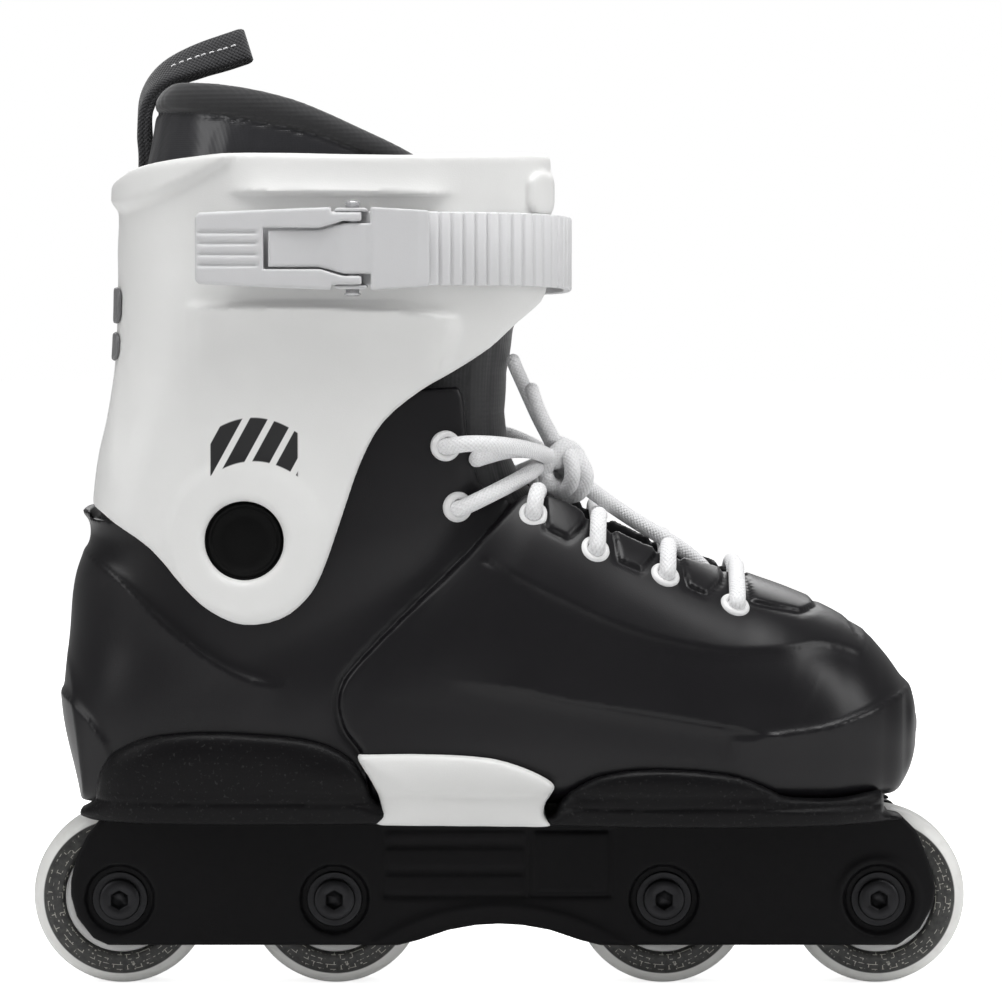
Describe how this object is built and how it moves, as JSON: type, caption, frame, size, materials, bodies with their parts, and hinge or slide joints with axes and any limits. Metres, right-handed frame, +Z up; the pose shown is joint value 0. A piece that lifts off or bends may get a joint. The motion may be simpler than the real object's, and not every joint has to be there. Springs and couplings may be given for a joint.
{
  "type": "inline skate",
  "caption": "Aggressive inline skate: hard shell boot with hinged white cuff, ratchet strap buckle, laces, soul plates and a grind frame carrying bearing wheels on axles.",
  "frame": {"origin": "centre of the footprint of the whole skate, on the floor under the wheels", "axes": "+X to the toe, +Y to the inner side of the foot (buckle on -Y), +Z up"},
  "size_m": [0.3152, 0.1164, 0.3244],
  "materials": {
    "black_shell": "satin black moulded shell with raised style lines",
    "black_plastic": "black moulded nylon, fine grain",
    "white_plate": "white slide plate with a slight sheen",
    "steel": "zinc-plated steel",
    "foam": "closed-cell foam, dark",
    "liner_textile": "black padded textile",
    "webbing": "black woven webbing",
    "lace_cord": "white braided round lace",
    "white_cuff": "white moulded cuff, semi-matte",
    "badge_grey": "dark grey raised bars",
    "white_buckle": "white moulded buckle",
    "white_strap": "white ribbed ratchet strap",
    "urethane": "cast white urethane",
    "wheel_core": "hub with a dark printed face",
    "bearing_steel": "ball bearing rings and spacers",
    "black_bolt": "black oxide steel axle bolt"
  },
  "bodies": {
    "boot": {"boot_shell": "black_shell", "heel_soul_plate": "black_plastic", "toe_soul_plate": "black_plastic", "frame": "black_plastic", "arch_block": "black_plastic", "outer_pivot_cap": "black_plastic", "inner_pivot_cap": "black_plastic", "outer_slide_plate": "white_plate", "inner_slide_plate": "white_plate", "rear_mount_bolt": "steel", "front_mount_bolt": "steel", "rear_mount_nut": "steel", "front_mount_nut": "steel", "heel_shock_pad": "foam", "footbed": "foam", "liner_foot": "liner_textile", "tongue_lower": "liner_textile", "lacing": "lace_cord", "lace_bow": "lace_cord", "bearing_spacer_1": "bearing_steel", "axle_1": "black_bolt", "bearing_spacer_2": "bearing_steel", "axle_2": "black_bolt", "bearing_spacer_3": "bearing_steel", "axle_3": "black_bolt", "bearing_spacer_4": "bearing_steel", "axle_4": "black_bolt"},
    "cuff_body": {"cuff": "white_cuff", "liner_cuff": "liner_textile", "tongue_upper": "liner_textile", "pull_loop": "webbing", "upper_back_badge": "badge_grey", "lower_back_badge": "badge_grey", "buckle_base": "white_buckle", "lever_pin": "steel", "ladder_strap": "white_strap", "strap_screw": "steel"},
    "lever_body": {"buckle_lever": "white_buckle", "upper_pawl_pin": "steel", "lower_pawl_pin": "steel"},
    "latch_body": {"release_latch": "white_buckle"},
    "pawl_body": {"drive_pawl": "white_buckle"},
    "wheel_1": {"tyre_1": "urethane", "wheel_core_1": "wheel_core", "outer_bearing_1": "bearing_steel", "inner_bearing_1": "bearing_steel"},
    "wheel_2": {"tyre_2": "urethane", "wheel_core_2": "wheel_core", "outer_bearing_2": "bearing_steel", "inner_bearing_2": "bearing_steel"},
    "wheel_3": {"tyre_3": "urethane", "wheel_core_3": "wheel_core", "outer_bearing_3": "bearing_steel", "inner_bearing_3": "bearing_steel"},
    "wheel_4": {"tyre_4": "urethane", "wheel_core_4": "wheel_core", "outer_bearing_4": "bearing_steel", "inner_bearing_4": "bearing_steel"}
  },
  "joints": [
    {"name": "wheel_1_spin", "type": "hinge", "parent": "boot", "child": "wheel_1", "pos_m": [-0.1276, 0.00398, 0.03], "axis": [0, 1, 0], "continuous": true},
    {"name": "wheel_2_spin", "type": "hinge", "parent": "boot", "child": "wheel_2", "pos_m": [-0.0554, 0.00398, 0.03], "axis": [0, 1, 0], "continuous": true},
    {"name": "wheel_3_spin", "type": "hinge", "parent": "boot", "child": "wheel_3", "pos_m": [0.0554, 0.00398, 0.03], "axis": [0, 1, 0], "continuous": true},
    {"name": "wheel_4_spin", "type": "hinge", "parent": "boot", "child": "wheel_4", "pos_m": [0.1276, 0.00398, 0.03], "axis": [0, 1, 0], "continuous": true},
    {"name": "cuff_flex", "type": "hinge", "parent": "boot", "child": "cuff_body", "pos_m": [-0.0838, 0.00398, 0.1527], "axis": [0, 1, 0], "range_deg": [0, 12]},
    {"name": "buckle_lever_swing", "type": "hinge", "parent": "cuff_body", "child": "lever_body", "pos_m": [-0.0476, -0.05402, 0.2487], "axis": [0, 0, 1], "range_deg": [0, 100]},
    {"name": "release_latch_press", "type": "hinge", "parent": "cuff_body", "child": "latch_body", "pos_m": [-0.0476, -0.05402, 0.2487], "axis": [0, 0, 1], "range_deg": [-4, 0], "stiffness_Nm_per_rad": 0.05},
    {"name": "drive_pawl_click", "type": "hinge", "parent": "lever_body", "child": "pawl_body", "pos_m": [-0.0661, -0.05302, 0.2487], "axis": [0, 0, 1], "range_deg": [-10, 0], "stiffness_Nm_per_rad": 0.02}
  ]
}
